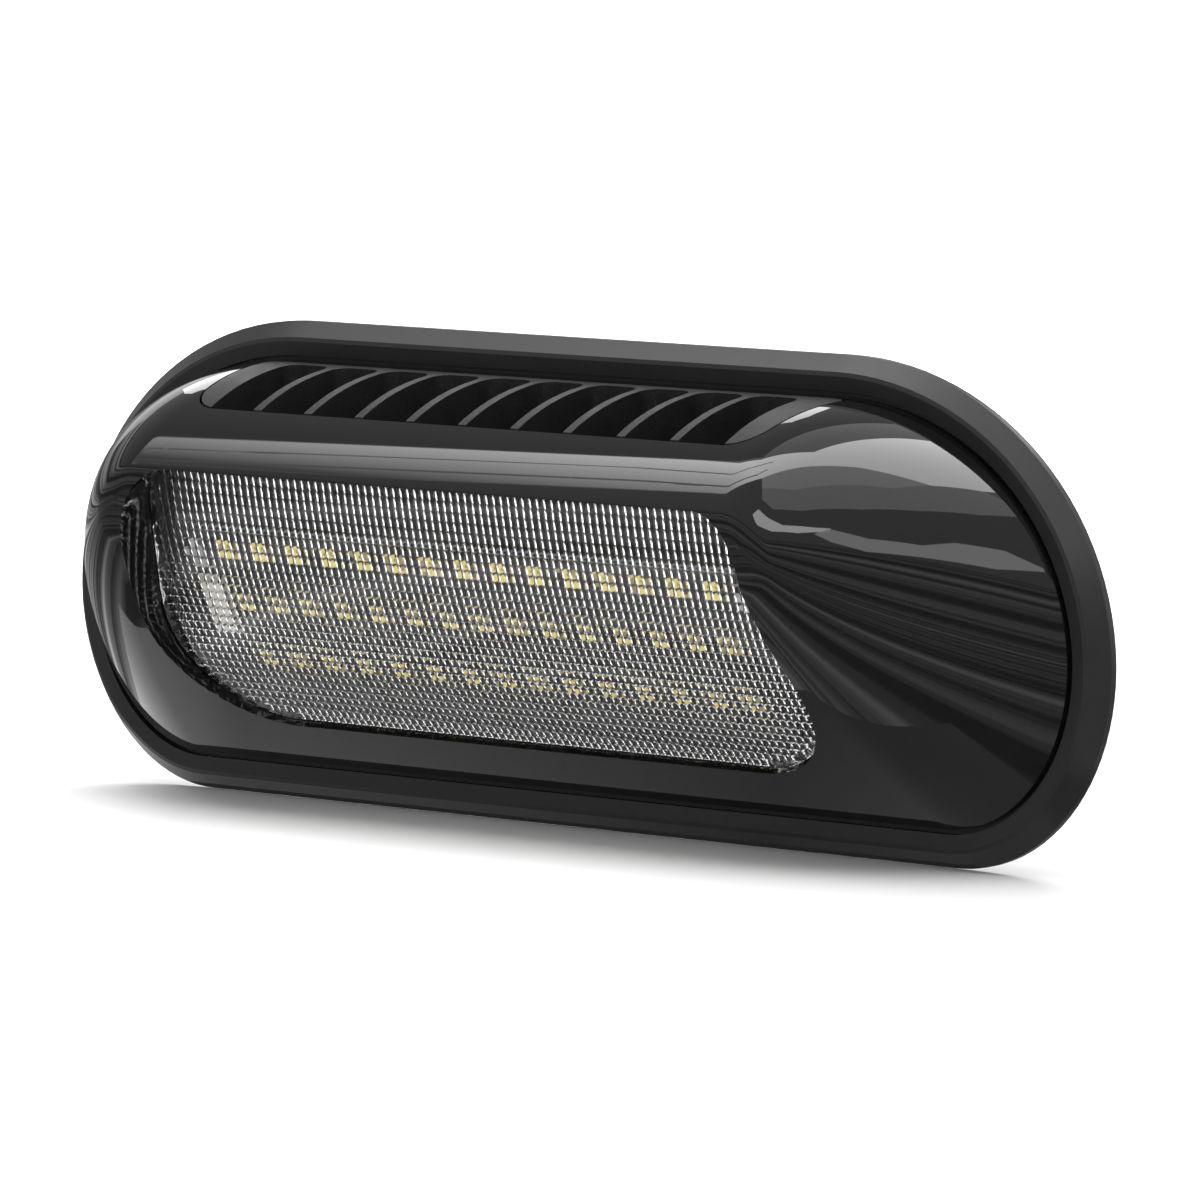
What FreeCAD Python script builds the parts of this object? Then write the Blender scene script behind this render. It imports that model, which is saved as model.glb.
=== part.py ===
"""Surface-mount vehicle flood light: trim ring, overhanging hood, slanted lens, finned heat sink.

Frame, in millimetres: X runs along the lamp, Y into the vehicle's panel and Z up. The origin is the
middle of the mounting face, so a depth d in front of the panel is Y = -d.
"""
import FreeCAD
import Part
import math
import os
import re
from FreeCAD import Placement, Rotation, Vector

SIZES = {
    # outline of the trim ring, an oval with large upper and smaller lower corners
    "flange_length": 216.0,
    "flange_height": 78.0,
    "upper_corner_length": 52.0,
    "lower_corner_length": 29.7,
    "lower_corner_height": 32.6,
    # trim ring section: insets from the outline and depths in front of the panel
    "ring_back": 0.3,
    "ring_skirt_front": 1.5,
    "ring_ridge_inset": 2.8,
    "ring_ridge_depth": 4.5,
    "ring_ridge_rounding": 0.4,
    "ring_inner_inset": 5.5,
    "ring_inner_depth": 4.1,
    "ring_wall": 2.4,
    "ring_clearance": 0.3,
    # base housing and what seals it to the panel
    "gasket_inset": 3.5,
    "gasket_width": 8.5,
    "gasket_thickness": 1.0,
    "base_plate": 1.8,
    "plateau_inset": 10.6,
    "plateau_wall": 1.9,
    "plateau_depth": 4.6,
    # threaded inserts in the back of the base
    "mount_end": 30.0,
    "mount_edge": 25.0,
    "insert_radius": 3.5,
    "insert_bore_radius": 2.1,
    "insert_length": 9.0,
    "boss_wall": 2.0,
    "boss_floor": 1.6,
    # front cover, also called the hood
    "cover_gap": 0.8,
    "cover_wall": 2.2,
    "cover_skirt_depth": 4.4,
    "cover_depth": 39.0,
    "nose_level": 12.5,
    "nose_end": 43.0,
    "nose_upper_end": 46.0,
    "nose_lower_end": 45.5,
    "cover_taper": 0.62,
    "end_taper": 0.68,
    "cover_crown": 0.57,
    "nose_share": 0.985,
    "seal_width": 1.5,
    "seal_height": 1.8,
    "seal_clearance": 0.15,
    # window, a rounded trapezium in a plane tilted back from upright
    "window_tilt": 31.9,
    "window_depth": 25.25,
    "window_level": -4.3,
    "window_height": 49.4,
    "window_upper_end": 44.9,
    "window_lower_end": 36.5,
    "window_upper_radius": 9.4,
    "window_lower_radius": 19.5,
    "bezel_wall": 1.8,
    "bezel_end": 5.9,
    # lens and its seal
    "lens_clearance": 0.4,
    "lens_side": 1.0,
    "lens_wall": 2.2,
    "lens_radius": 75.0,
    "lens_apex_shift": -8.0,
    "lens_crown": 1.2,
    "lens_flange": 1.5,
    "lens_flange_thickness": 1.2,
    "lens_gasket_thickness": 0.8,
    "seat_clearance": 0.3,
    # vent in the top of the hood and the heat sink that fills it
    "vent_front": 28.2,
    "vent_back": 6.4,
    "vent_front_end": 49.2,
    "vent_back_end": 47.2,
    "vent_front_radius": 6.0,
    "vent_back_radius": 2.0,
    "vent_clearance": 0.35,
    "rib_count": 9,
    "cheek_width": 4.3,
    "rib_thickness": 1.7,
    "slot_back_wall": 2.2,
    "slot_back_radius": 2.6,
    "slot_front_radius": 0.4,
    "slot_front_wall": 1.8,
    "slot_floor_level": 17.0,
    "slot_ledge_level": 22.0,
    "sink_floor": 3.0,
    "deck_depth": 8.2,
    "deck_thickness": 3.0,
    "deck_margin": 2.0,
    "sink_foot_radius": 4.5,
    "sink_foot_end": 51.0,
    "sink_upper_foot_level": 20.0,
    "sink_lower_foot_level": -8.0,
    # LED board
    "pad_thickness": 0.4,
    "board_thickness": 1.6,
    "board_margin": 4.4,
    "board_top": 9.5,
    "led_count": 15,
    "led_rows": 3,
    "led_end": 57.1,
    "led_row_pitch": 9.8,
    "led_middle": -3.1,
    "led_long": 3.5,
    "led_wide": 2.8,
    "led_high": 0.8,
    "resistor_count": 6,
    "resistor_pitch": 17.0,
    "resistor_line": -17.6,
    "resistor_long": 3.2,
    "resistor_wide": 1.6,
    "resistor_high": 0.6,
    "connector_long": 4.6,
    "connector_wide": 9.0,
    "connector_high": 2.6,
    "connector_end": 51.5,
    "board_screw_end": 50.5,
    "board_screw_line": 6.0,
    # driver board behind the LED deck
    "driver_end": 66.0,
    "driver_high": 16.0,
    "driver_level": 3.0,
    "driver_thickness": 1.6,
    "standoff_radius": 2.5,
    "standoff_height": 2.0,
    "standoff_inset": 3.5,
    "inductor_side": 9.0,
    "inductor_height": 5.0,
    "inductor_place": -14.0,
    "capacitor_radius": 3.15,
    "capacitor_height": 5.6,
    "capacitor_place": 8.0,
    "capacitor_pitch": 8.0,
    "component_level": 6.0,
    # screws
    "small_shank": 1.2,
    "small_head": 2.2,
    "small_head_height": 1.2,
    "screw_shank": 1.5,
    "screw_head": 2.7,
    "screw_head_height": 1.6,
    "screw_reach": 5.5,
    "screw_clearance": 0.25,
    "post_radius": 2.8,
    "side_post_end": 16.0,
    "side_post_level": -6.0,
    "upper_post_end": 39.5,
    "upper_post_drop": 19.0,
    # cable grommet in the back
    "grommet_end": 40.0,
    "grommet_level": 0.0,
    "grommet_neck": 5.5,
    "grommet_lip": 1.8,
    "grommet_lip_thickness": 1.3,
    "grommet_bore": 3.2,
    "grommet_clearance": 0.1,
}

doc = FreeCAD.newDocument("flood_light")
sheet = doc.addObject("Spreadsheet::Sheet", "Sizes")
for row, (alias, number) in enumerate(SIZES.items(), start=1):
    sheet.set(f"A{row}", alias)
    sheet.set(f"B{row}", str(number))
    sheet.setAlias(f"B{row}", alias)
doc.recompute()

ALONG_X = Vector(1, 0, 0)
TO_FRONT = Vector(0, -1, 0)
UP = Vector(0, 0, 1)
QUARTER_WEIGHT = math.sqrt(0.5)
FAR = 400.0


def size(alias):
    """The number that the sheet holds under an alias."""
    return float(sheet.get(alias))


def from_end(alias):
    """How far a place is from the middle, held by its distance from the lamp's end."""
    return size("flange_length") / 2 - size(alias)


def bind(thing, prop, formula):
    """Ties a property to a formula written with the sheet's aliases."""
    def from_sheet(word):
        return "Sizes." + word.group() if word.group() in SIZES else word.group()
    thing.setExpression(prop, re.sub(r"[a-z_]+", from_sheet, formula))


def feature(name, shape, placement=None):
    """An outline or a row of outlines, drawn from the sheet's numbers."""
    thing = doc.addObject("Part::Feature", name)
    thing.Shape = shape
    if placement is not None:
        thing.Placement = placement
    return thing


def extrusion(name, outline, direction, length):
    """A closed solid drawn out of an outline; length is a formula."""
    thing = doc.addObject("Part::Extrusion", name)
    thing.Base = outline
    thing.DirMode = "Custom"
    thing.Dir = direction
    thing.Solid = True
    bind(thing, "LengthFwd", length)
    return thing


def loft(name, sections, ruled):
    thing = doc.addObject("Part::Loft", name)
    thing.Sections = sections
    thing.Solid = True
    thing.Ruled = ruled
    return thing


def cut(name, base, tool):
    thing = doc.addObject("Part::Cut", name)
    thing.Base = base
    thing.Tool = tool
    return thing


def fused(name, shapes):
    thing = doc.addObject("Part::MultiFuse", name)
    thing.Shapes = shapes
    return thing


def common(name, shapes):
    thing = doc.addObject("Part::MultiCommon", name)
    thing.Shapes = shapes
    return thing


def group(name, shapes):
    thing = doc.addObject("Part::Compound", name)
    thing.Links = shapes
    return thing


def cylinder(name, radius, height, placement):
    thing = doc.addObject("Part::Cylinder", name)
    bind(thing, "Radius", radius)
    bind(thing, "Height", height)
    thing.Placement = placement
    return thing


def box(name, lengths, placement):
    """A box centred on its placement in its own X and Y, standing on its own Z."""
    thing = doc.addObject("Part::Box", name)
    for prop, formula in zip(("Length", "Width", "Height"), lengths):
        bind(thing, prop, formula)
    doc.recompute()
    corner = Vector(-thing.Length.Value / 2, -thing.Width.Value / 2, 0)
    thing.Placement = placement.multiply(Placement(corner, Rotation()))
    return thing


def facing_front(x, z, depth):
    """Places a piece that stands on its own Z so that it rises towards the front."""
    return Placement(Vector(x, -depth, z), Rotation(ALONG_X, 90))


TILT = Rotation(ALONG_X, 90 + size("window_tilt"))
WINDOW_AXIS = TILT.multVec(UP)
WINDOW_CENTRE = Vector(0, -size("window_depth"), size("window_level"))
WINDOW_FRAME = Placement(WINDOW_CENTRE, TILT)


def on_window(x, y, z):
    """A place in the window's own frame: x along the lamp, y up the slope, z out of the window."""
    return WINDOW_FRAME.multiply(Placement(Vector(x, y, z), Rotation()))


def oval(depth, half, top, bottom, side, top_flat, bottom_flat):
    """An egg-ended outline at a depth: flats at top and bottom, quarter ellipses at the corners."""
    def spot(x, z):
        return Vector(x, -depth, z)

    def corner(start, middle, end):
        curve = Part.BezierCurve()
        curve.setPoles([start, middle, end])
        curve.setWeight(2, QUARTER_WEIGHT)
        return curve.toShape()

    return Part.Wire([
        Part.LineSegment(spot(-top_flat, top), spot(top_flat, top)).toShape(),
        corner(spot(top_flat, top), spot(half, top), spot(half, side)),
        corner(spot(half, side), spot(half, bottom), spot(bottom_flat, bottom)),
        Part.LineSegment(spot(bottom_flat, bottom), spot(-bottom_flat, bottom)).toShape(),
        corner(spot(-bottom_flat, bottom), spot(-half, bottom), spot(-half, side)),
        corner(spot(-half, side), spot(-half, top), spot(-top_flat, top)),
    ])


def flange_oval(inset, depth):
    """The trim ring's outline, moved in by an inset."""
    half = size("flange_length") / 2
    rise = size("flange_height") / 2
    return oval(
        depth, half - inset, rise - inset, inset - rise, size("lower_corner_height") - rise,
        from_end("upper_corner_length"), from_end("lower_corner_length"))


def oval_plate(name, inset, back, length):
    """A flat plate of the flange's outline, from a depth forwards; length is a formula."""
    outline = feature(name + "_outline", flange_oval(inset, back))
    return extrusion(name, outline, TO_FRONT, length)


def cover_oval(share, wall):
    """The hood's outline at a share of its depth, moved in by a wall."""
    inset = size("ring_inner_inset") + size("cover_gap")
    half = size("flange_length") / 2
    rise = size("flange_height") / 2
    nose = size("nose_level")
    taper = (1 - share) ** size("cover_taper")
    end_taper = (1 - share) ** size("end_taper")
    crown = (1 - share ** 2) ** size("cover_crown")

    def between(at_nose, at_base, amount=taper):
        return at_nose + (at_base - at_nose) * amount

    skirt = size("cover_skirt_depth")
    return oval(
        skirt + share * (size("cover_depth") - wall - skirt),
        between(from_end("nose_end") - wall, half - inset - wall, end_taper),
        between(nose, rise - inset - wall, crown),
        between(nose, inset + wall - rise),
        between(nose, size("lower_corner_height") - rise),
        between(from_end("nose_upper_end") - wall, from_end("upper_corner_length")),
        between(from_end("nose_lower_end") - wall, from_end("lower_corner_length")))


COVER_SHARES = (0.0, 0.15, 0.3, 0.45, 0.6, 0.74, 0.86, 0.94)


def cover_body(name, wall):
    """The hood's solid form, moved in by a wall."""
    shares = COVER_SHARES + (size("nose_share"),)
    sections = [feature(f"{name}_section_{i}", cover_oval(share, wall)) for i, share in enumerate(shares)]
    return loft(name, sections, False)


def rounded(corners):
    """A closed outline of straight runs joined by arcs; each corner is (x, y, radius)."""
    spots = [Vector(x, y, 0) for x, y, _ in corners]
    edges = []
    last = None
    first = None
    for i, (_, _, radius) in enumerate(corners):
        before = (spots[i - 1] - spots[i]).normalize()
        after = (spots[(i + 1) % len(spots)] - spots[i]).normalize()
        half_angle = before.getAngle(after) / 2
        reach = radius / math.tan(half_angle)
        middle = (before + after).normalize()
        centre = spots[i] + middle * (radius / math.sin(half_angle))
        start = spots[i] + before * reach
        end = spots[i] + after * reach
        if last is not None:
            edges.append(Part.LineSegment(last, start).toShape())
        edges.append(Part.Arc(start, centre - middle * radius, end).toShape())
        first = first or start
        last = end
    edges.append(Part.LineSegment(last, first).toShape())
    return Part.Wire(edges)


def window_outline(inset, top=None):
    """The window's outline moved in by an inset, or cut short at a level up the slope."""
    rise = size("window_height") / 2
    upper = from_end("window_upper_end")
    slope = (from_end("window_lower_end") - upper) / size("window_height")
    side = inset * math.hypot(1, slope)
    high = rise - inset if top is None else top
    low = inset - rise

    def half_at(level):
        return upper + (rise - level) * slope - side

    upper_radius = max(size("window_upper_radius") - inset, 1.0)
    lower_radius = max(size("window_lower_radius") - inset, 1.0)
    return rounded([
        (-half_at(low), low, lower_radius), (half_at(low), low, lower_radius),
        (half_at(high), high, upper_radius), (-half_at(high), high, upper_radius)])


def window_prism(name, inset, start, length, top=None):
    """A prism of the window's outline along the window's axis, from a height; length is a formula."""
    outline = feature(name + "_outline", window_outline(inset, top), on_window(0, 0, start))
    return extrusion(name, outline, WINDOW_AXIS, length)


def screw(name, kind, length, placement):
    """A pan-head screw: its head stands on its own Z and its shank points the other way."""
    head = cylinder(name + "_head", kind + "_head", kind + "_head_height", placement)
    below = placement.multiply(Placement(Vector(), Rotation(ALONG_X, 180)))
    return fused(name, [head, cylinder(name + "_shank", kind + "_shank", length, below)])


def mirrored_places(spots):
    """Each place and its mirror image about the middle of the lamp."""
    return [(sign * x, z) for x, z in spots for sign in (-1, 1)]


def row(count, pitch):
    """Evenly spaced places about the middle."""
    return [(i - (count - 1) / 2) * pitch for i in range(count)]


def finish(thing, label):
    thing.Label = label
    PARTS.append(thing)
    return thing


PARTS = []
HALF_HEIGHT = size("flange_height") / 2
FLANGE_FRONT = size("gasket_thickness") + size("base_plate")
FLOOR_BACK = size("plateau_depth") - size("base_plate")
MOUNT_PLACES = mirrored_places([
    (from_end("mount_end"), sign * (HALF_HEIGHT - size("mount_edge"))) for sign in (-1, 1)])
COVER_POSTS = mirrored_places([
    (from_end("side_post_end"), size("side_post_level")),
    (from_end("upper_post_end"), HALF_HEIGHT - size("upper_post_drop"))])
SINK_FEET = mirrored_places([
    (from_end("sink_foot_end"), size("sink_upper_foot_level")),
    (from_end("sink_foot_end"), size("sink_lower_foot_level"))])

# Mounting gasket: a flat foam ring between the base and the panel
gasket = cut(
    "Gasket",
    oval_plate("Gasket_outer", size("gasket_inset"), 0, "gasket_thickness"),
    oval_plate("Gasket_inner", size("gasket_inset") + size("gasket_width"), 0, "gasket_thickness"))
finish(gasket, "mounting_gasket")

# Base housing: a thin flange with a raised middle, hollow behind, and bosses for the inserts
base_flange = oval_plate(
    "Base_flange", size("ring_wall") + size("ring_clearance"), size("gasket_thickness"), "base_plate")
plateau = oval_plate(
    "Base_plateau", size("plateau_inset"), size("gasket_thickness"), "plateau_depth - gasket_thickness")
hollow = oval_plate(
    "Base_hollow", size("plateau_inset") + size("plateau_wall"), size("gasket_thickness"),
    "plateau_depth - base_plate - gasket_thickness")
bosses = [
    cylinder(f"Boss_{i}", "insert_radius + boss_wall", "insert_length + boss_floor",
             facing_front(x, z, 0))
    for i, (x, z) in enumerate(MOUNT_PLACES)]
insert_holes = [
    cylinder(f"Insert_hole_{i}", "insert_radius", "insert_length", facing_front(x, z, 0))
    for i, (x, z) in enumerate(MOUNT_PLACES)]
screw_holes = [
    cylinder(f"Screw_hole_{i}", "screw_shank + screw_clearance", "plateau_depth",
             facing_front(x, z, 0))
    for i, (x, z) in enumerate(COVER_POSTS + SINK_FEET)]
grommet_hole = cylinder(
    "Grommet_hole", "grommet_neck + grommet_clearance", "plateau_depth",
    facing_front(from_end("grommet_end"), size("grommet_level"), 0))
base = cut(
    "Base",
    fused("Base_body", [cut("Base_pan", fused("Base_plates", [base_flange, plateau]), hollow)] + bosses),
    fused("Base_holes", insert_holes + screw_holes + [grommet_hole]))
finish(base, "base_housing")

# Threaded inserts, open at the back
inserts = []
for i, (x, z) in enumerate(MOUNT_PLACES):
    at_back = facing_front(x, z, 0)
    sleeve = cylinder(f"Insert_{i}_sleeve", "insert_radius", "insert_length", at_back)
    bore = cylinder(f"Insert_{i}_bore", "insert_bore_radius", "insert_length", at_back)
    inserts.append(cut(f"Insert_{i}", sleeve, bore))
finish(group("Inserts", inserts), "mounting_inserts")

# Trim ring: a skirt round the base's edge, a slope up to a blunted ridge and a shallow bevel down to the hood
ridge = Vector(size("ring_ridge_inset"), size("ring_ridge_depth"), 0)
slope_foot = Vector(0, size("ring_skirt_front"), 0)
bevel_foot = Vector(size("ring_inner_inset"), size("ring_inner_depth"), 0)
shoulder = ridge + (slope_foot - ridge).normalize() * size("ring_ridge_rounding")
crest = ridge + (bevel_foot - ridge).normalize() * size("ring_ridge_rounding")
ring_slope = loft("Ring_slope", [
    feature("Ring_back_outline", flange_oval(0, size("ring_back"))),
    feature("Ring_skirt_outline", flange_oval(slope_foot.x, slope_foot.y)),
    feature("Ring_shoulder_outline", flange_oval(shoulder.x, shoulder.y)),
    feature("Ring_crest_outline", flange_oval(crest.x, crest.y)),
], True)
ring_bevel = loft("Ring_bevel", [
    feature("Ring_inner_outline", flange_oval(bevel_foot.x, bevel_foot.y)),
    feature("Ring_bevel_outline", flange_oval(crest.x, crest.y)),
], True)
ring_hole = oval_plate("Ring_hole", size("ring_inner_inset"), 0, "ring_ridge_depth * 2")
ring_rebate = oval_plate("Ring_rebate", size("ring_wall"), 0, "gasket_thickness + base_plate")
ring = cut("Ring", ring_slope, fused("Ring_inside", [ring_bevel, ring_hole, ring_rebate]))
finish(ring, "trim_ring")

# Front cover: a hollow tapering hood with a vent in its top and a recessed window in its face
cover_inset = size("ring_inner_inset") + size("cover_gap")
skirt_length = "cover_skirt_depth - gasket_thickness - base_plate"
outer_form = cover_body("Cover_form", 0)
inner_form = cover_body("Cover_room", size("cover_wall"))
outer_skirt = oval_plate("Cover_skirt", cover_inset, FLANGE_FRONT, skirt_length)
inner_skirt = oval_plate("Cover_skirt_room", cover_inset + size("cover_wall"), FLANGE_FRONT, skirt_length)
cover_shell = cut(
    "Cover_shell",
    fused("Cover_outside", [outer_form, outer_skirt]),
    fused("Cover_inside", [inner_form, inner_skirt]))
bezel_tube = window_prism("Bezel_tube", -size("bezel_wall"), -size("bezel_end"), "cover_depth")
post_shafts = [
    cylinder(f"Post_{i}", "post_radius", "cover_depth", facing_front(x, z, size("plateau_depth")))
    for i, (x, z) in enumerate(COVER_POSTS)]
bezel = common("Bezel", [outer_form, bezel_tube])
posts = common("Posts", [outer_form, fused("Post_shafts", post_shafts)])
window_hole = window_prism("Window_hole", 0, -size("bezel_end") - size("cover_wall"), "cover_depth")


def vent_outline(inset):
    """The vent's outline seen from above, level with the heat sink's underside."""
    front = -size("vent_front") + inset
    back = -size("vent_back") - inset
    front_half = from_end("vent_front_end") - inset
    back_half = from_end("vent_back_end") - inset
    front_radius = size("vent_front_radius") - inset
    back_radius = size("vent_back_radius") - inset
    return rounded([
        (-front_half, front, front_radius), (front_half, front, front_radius),
        (back_half, back, back_radius), (-back_half, back, back_radius)])


UNDERSIDE = Placement(Vector(0, 0, size("slot_floor_level") - size("sink_floor")), Rotation())
vent_hole = extrusion("Vent_hole", feature("Vent_outline", vent_outline(0), UNDERSIDE), UP, "cover_depth")
pilot_holes = [
    cylinder(f"Pilot_{i}", "screw_shank", "screw_reach",
             facing_front(x, z, size("plateau_depth")))
    for i, (x, z) in enumerate(COVER_POSTS)]
cover = cut(
    "Cover",
    fused("Cover_walls", [cover_shell, bezel, posts]),
    fused("Cover_holes", [window_hole, vent_hole] + pilot_holes))
finish(cover, "front_cover")

# Seal between the hood's skirt and the raised middle of the base
seal_outer = size("plateau_inset") - size("seal_clearance") - size("seal_width")
seal = cut(
    "Seal",
    oval_plate("Seal_outer", seal_outer, FLANGE_FRONT, "seal_height"),
    oval_plate("Seal_inner", size("plateau_inset") - size("seal_clearance"), FLANGE_FRONT, "seal_height"))
finish(seal, "cover_seal")

# Heat sink: a block that fills the vent, slotted into ribs, with a tilted deck for the LED board
plug_outline = feature("Plug_outline", vent_outline(size("vent_clearance")), UNDERSIDE)
plug = common("Plug", [extrusion("Plug_block", plug_outline, UP, "cover_depth"), outer_form])
rib_count = int(size("rib_count"))
rib_pitch = (from_end("vent_front_end") - size("cheek_width")) * 2 / (rib_count + 1)
slot_half = (rib_pitch - size("rib_thickness")) / 2
slot_front = -size("vent_front") + size("vent_clearance") + size("slot_front_wall")
slot_back = -size("vent_back") - size("vent_clearance") - size("slot_back_wall")
ledge_front = -size("vent_front")
slot_radius = size("slot_front_radius")
slots = []
ledges = []
for x in row(rib_count + 1, rib_pitch):
    slots.append(rounded([
        (x - slot_half, slot_front, slot_radius), (x + slot_half, slot_front, slot_radius),
        (x + slot_half, slot_back, size("slot_back_radius")),
        (x - slot_half, slot_back, size("slot_back_radius"))]))
    ledges.append(rounded([
        (x - slot_half, ledge_front, slot_radius), (x + slot_half, ledge_front, slot_radius),
        (x + slot_half, slot_front + slot_half, slot_radius),
        (x - slot_half, slot_front + slot_half, slot_radius)]))
slot_floor = Placement(Vector(0, 0, size("slot_floor_level")), Rotation())
ledge_floor = Placement(Vector(0, 0, size("slot_ledge_level")), Rotation())
slot_tools = extrusion("Slots", feature("Slot_outlines", Part.Compound(slots), slot_floor), UP, "cover_depth")
ledge_tools = extrusion(
    "Ledges", feature("Ledge_outlines", Part.Compound(ledges), ledge_floor), UP, "cover_depth")
ribs = cut("Ribs", cut("Slotted_plug", plug, slot_tools), ledge_tools)

deck_back = -size("deck_depth") - size("deck_thickness")
seat_room = cover_body("Seat_room", size("cover_wall") + size("seat_clearance"))
in_front_of_base = box(
    "In_front_of_base", ("flange_length", "flange_height", "cover_depth"),
    facing_front(0, 0, size("plateau_depth")))
deck = common("Deck", [
    window_prism("Deck_plate", -size("deck_margin"), deck_back, "deck_thickness"), seat_room,
    in_front_of_base])
feet = []
for i, (x, z) in enumerate(SINK_FEET):
    shaft = cylinder(f"Foot_{i}_shaft", "sink_foot_radius", "vent_front", facing_front(x, z, size("plateau_depth")))
    feet.append(shaft)
behind_deck = window_prism(
    "Behind_deck", -size("deck_margin"), -FAR, "%g - deck_depth" % FAR)
upper_feet = common("Upper_feet", [fused("Upper_shafts", feet[:2]), box(
    "Upper_foot_room", ("flange_length", "flange_height", "vent_back + vent_clearance"),
    facing_front(0, 0, 0))])
lower_feet = common("Lower_feet", [fused("Lower_shafts", feet[2:]), behind_deck])
sink_pilots = [
    cylinder(f"Sink_pilot_{i}", "screw_shank", "screw_reach", facing_front(x, z, size("plateau_depth")))
    for i, (x, z) in enumerate(SINK_FEET)]
board_screw_places = [(sign * from_end("board_screw_end"), size("board_screw_line")) for sign in (-1, 1)]
board_pilots = [
    cylinder(f"Board_pilot_{i}", "small_shank", "deck_thickness + pad_thickness + board_thickness",
             on_window(x, y, deck_back))
    for i, (x, y) in enumerate(board_screw_places)]
sink = cut(
    "Heat_sink", fused("Sink_body", [ribs, deck, upper_feet, lower_feet]),
    fused("Sink_holes", sink_pilots + board_pilots))
finish(sink, "heat_sink")

# Screws from the back: into the hood's posts and into the heat sink's feet
def back_screws(name, places):
    screws = []
    for i, (x, z) in enumerate(places):
        at = Placement(Vector(x, -FLOOR_BACK, z), Rotation(ALONG_X, -90))
        screws.append(screw(f"{name}_{i}", "screw", "base_plate + screw_reach", at))
    return group(name, screws)


finish(back_screws("Cover_screws", COVER_POSTS), "cover_screws")
finish(back_screws("Sink_screws", SINK_FEET), "heat_sink_screws")

# Lens gasket and lens: a clear cap with a cylindrical crown, seated on the deck by its flange
gasket_back = -size("deck_depth")
lens_back = gasket_back + size("lens_gasket_thickness")
lens_inner = size("lens_clearance") + size("lens_side")
lens_gasket = cut(
    "Lens_gasket",
    common("Lens_gasket_plate", [
        window_prism("Lens_gasket_outer", -size("lens_flange"), gasket_back, "lens_gasket_thickness"),
        seat_room, in_front_of_base]),
    window_prism("Lens_gasket_inner", lens_inner, gasket_back, "lens_gasket_thickness"))
finish(lens_gasket, "lens_gasket")
crown_centre = WINDOW_FRAME.multiply(Placement(
    Vector(-FAR / 2, size("lens_apex_shift"), size("lens_crown") - size("lens_radius")),
    Rotation(Vector(0, 1, 0), 90)))
outer_crown = cylinder("Lens_outer_crown", "lens_radius", "%g" % FAR, crown_centre)
inner_crown = cylinder("Lens_inner_crown", "lens_radius - lens_wall", "%g" % FAR, crown_centre)
lens_cap = common("Lens_cap", [
    window_prism("Lens_outer", size("lens_clearance"), lens_back, "window_depth"), outer_crown])
lens_room = common("Lens_room", [
    window_prism("Lens_inner", lens_inner, lens_back, "window_depth"), inner_crown])
lens_flange = common("Lens_flange_plate", [
    window_prism("Lens_flange", -size("lens_flange"), lens_back, "lens_flange_thickness"), seat_room,
    in_front_of_base])
lens = cut("Lens", fused("Lens_solid", [lens_cap, lens_flange]), lens_room)
finish(lens, "lens")

# Thermal pad, LED board and what is soldered or screwed to it
pad_back = -size("deck_depth")
board_back = pad_back + size("pad_thickness")
board_front = board_back + size("board_thickness")


def screwed_sheet(name, back, thickness):
    sheet_blank = window_prism(name + "_blank", size("board_margin"), back, thickness, size("board_top"))
    holes = [
        cylinder(f"{name}_hole_{i}", "small_shank + screw_clearance", thickness, on_window(x, y, back))
        for i, (x, y) in enumerate(board_screw_places)]
    return cut(name, sheet_blank, fused(name + "_holes", holes))


finish(screwed_sheet("Thermal_pad", pad_back, "pad_thickness"), "thermal_pad")
finish(screwed_sheet("Led_board", board_back, "board_thickness"), "led_board")
leds = []
led_count = int(size("led_count"))
led_pitch = from_end("led_end") * 2 / (led_count - 1)
for line, y in enumerate(row(int(size("led_rows")), size("led_row_pitch"))):
    for place, x in enumerate(row(led_count, led_pitch)):
        leds.append(box(
            f"Led_{line}_{place}", ("led_long", "led_wide", "led_high"),
            on_window(x, size("led_middle") + y, board_front)))
finish(group("Leds", leds), "led_packages")
resistors = [
    box(f"Resistor_{i}", ("resistor_long", "resistor_wide", "resistor_high"),
        on_window(x, size("resistor_line"), board_front))
    for i, x in enumerate(row(int(size("resistor_count")), size("resistor_pitch")))]
finish(group("Resistors", resistors), "board_resistors")
board_screws = [
    screw(f"Board_screw_{i}", "small", "board_thickness + pad_thickness + deck_thickness",
          on_window(x, y, board_front))
    for i, (x, y) in enumerate(board_screw_places)]
finish(group("Board_screws", board_screws), "board_screws")
connector = box(
    "Connector", ("connector_long", "connector_wide", "connector_high"),
    on_window(-from_end("connector_end"), size("led_middle"), board_front))
finish(connector, "board_connector")

# Driver board on stand-offs in the wedge behind the deck
driver_back = size("plateau_depth") + size("standoff_height")
driver_front = driver_back + size("driver_thickness")
driver_places = [
    (sx * (from_end("driver_end") - size("standoff_inset")),
     size("driver_level") + sz * (size("driver_high") / 2 - size("standoff_inset")))
    for sx in (-1, 1) for sz in (-1, 1)]
driver_blank = box(
    "Driver_blank", ("flange_length - 2 * driver_end", "driver_high", "driver_thickness"),
    facing_front(0, size("driver_level"), driver_back))
driver_holes = [
    cylinder(f"Driver_hole_{i}", "small_shank + screw_clearance", "driver_thickness",
             facing_front(x, z, driver_back))
    for i, (x, z) in enumerate(driver_places)]
finish(cut("Driver", driver_blank, fused("Driver_holes", driver_holes)), "driver_board")
standoffs = []
for i, (x, z) in enumerate(driver_places):
    at_base = facing_front(x, z, size("plateau_depth"))
    standoffs.append(cut(
        f"Standoff_{i}",
        cylinder(f"Standoff_{i}_body", "standoff_radius", "standoff_height", at_base),
        cylinder(f"Standoff_{i}_bore", "small_shank", "standoff_height", at_base)))
finish(group("Standoffs", standoffs), "driver_standoffs")
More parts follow.
